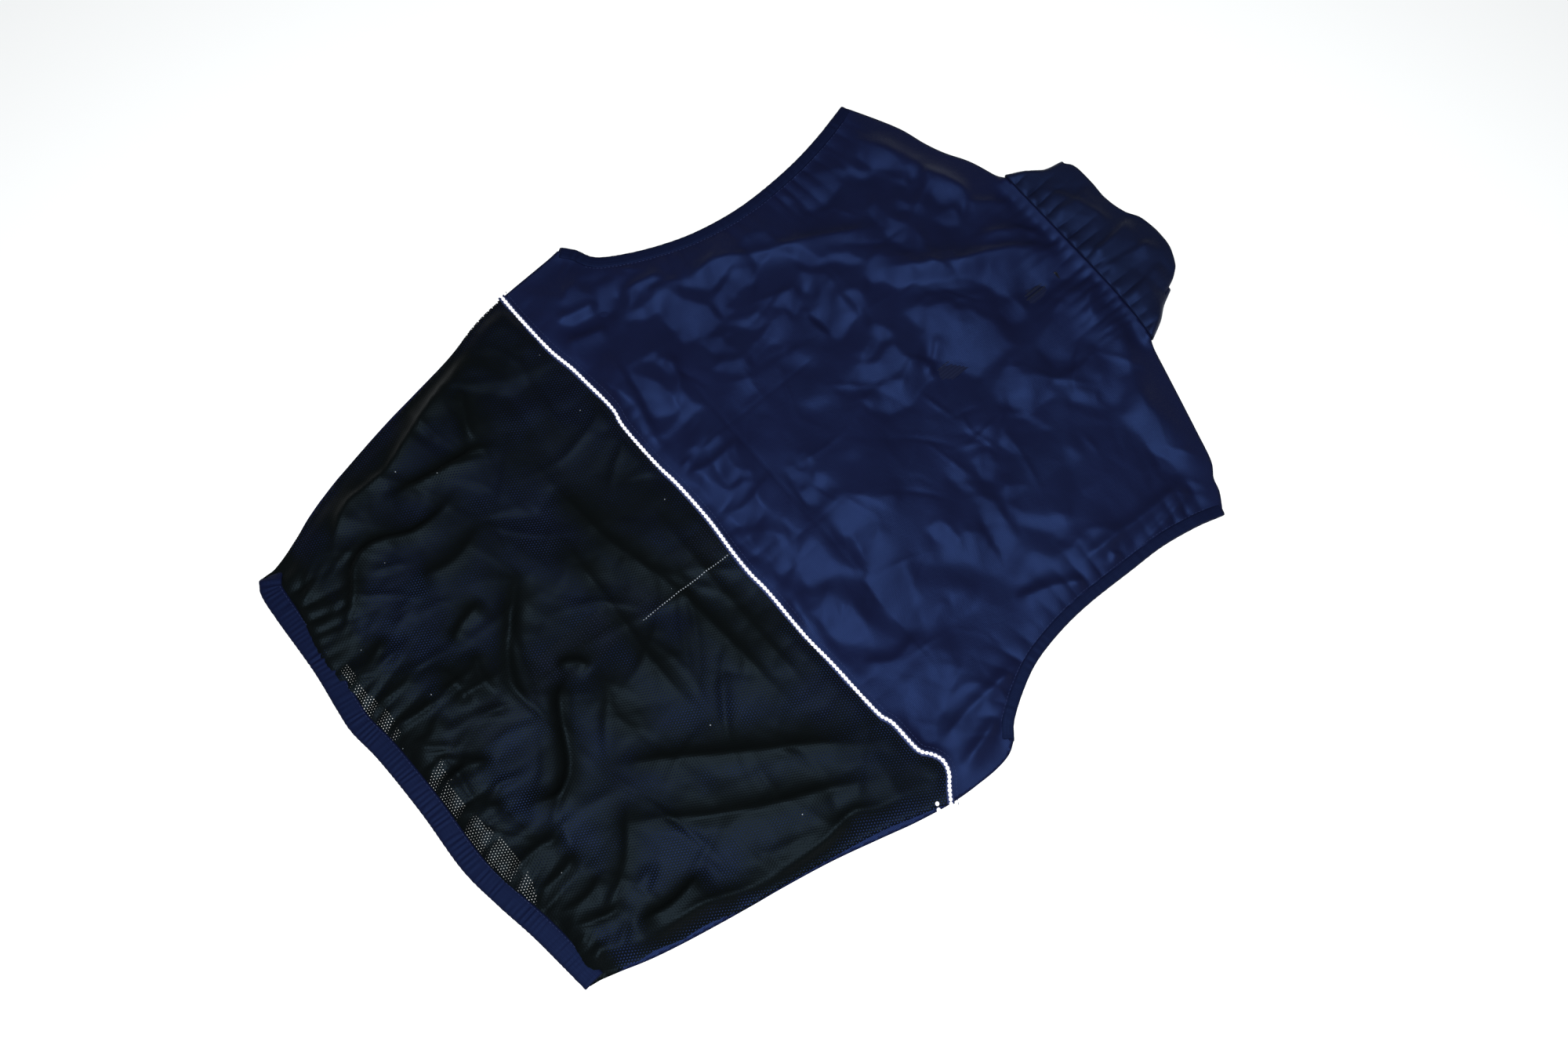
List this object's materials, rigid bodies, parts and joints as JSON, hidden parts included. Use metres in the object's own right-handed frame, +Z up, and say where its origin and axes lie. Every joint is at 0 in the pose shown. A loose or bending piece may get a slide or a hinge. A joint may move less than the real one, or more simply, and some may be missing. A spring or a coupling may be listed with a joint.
{
  "type": "sleeveless cycling wind vest",
  "caption": "Sleeveless zip-front wind vest laid flat with its back up: navy taffeta yoke and fronts, black mesh lower back, bright piping, stand collar, elastic hem.",
  "frame": {"origin": "centre of the vest's bounding box, on the surface it lies on", "axes": "+Z up out of the back; +Y from the hem to the collar; +X to the wearer's right"},
  "size_m": [0.5288, 0.7219, 0.0165],
  "materials": {
    "navy_taffeta": "thin plain-woven taffeta with a soft sheen",
    "black_mesh": "warp-knitted mesh with small hexagonal holes, matt",
    "reflective_cord": "retro-reflective silver piping, very bright in a flash",
    "elastic": "woven rubber elastic, matt",
    "zip_tape": "woven polyester tape, matt",
    "zip_coil": "nylon coil, satin",
    "zip_metal": "navy paint on die-cast zinc"
  },
  "bodies": {
    "garment": {"upper_back_panel": "navy_taffeta", "left_front_panel": "navy_taffeta", "right_front_panel": "navy_taffeta", "lower_back_mesh": "black_mesh", "reflective_piping": "reflective_cord", "left_armhole_binding": "navy_taffeta", "right_armhole_binding": "navy_taffeta", "left_armhole_elastic": "elastic", "right_armhole_elastic": "elastic", "hem_casing": "navy_taffeta", "hem_elastic": "elastic", "collar_outer": "navy_taffeta", "collar_lining": "navy_taffeta", "zip_tape_left": "zip_tape", "zip_tape_right": "zip_tape", "zip_coil_left": "zip_coil", "zip_coil_right": "zip_coil", "zip_top_stop_left": "zip_metal", "zip_top_stop_right": "zip_metal", "zip_insertion_pin": "zip_metal", "zip_retainer_box": "zip_metal"},
    "slider": {"zip_slider": "zip_metal"},
    "pull": {"zip_pull": "zip_metal"}
  },
  "joints": [
    {"name": "zip_slide", "type": "slide", "parent": "garment", "child": "slider", "axis": [0, -1, 0], "range_m": [0, 0.59]},
    {"name": "pull_swing", "type": "hinge", "parent": "slider", "child": "pull", "pos_m": [0, 0.2812, 0.00175], "axis": [1, 0, 0], "range_deg": [0, 180]}
  ]
}
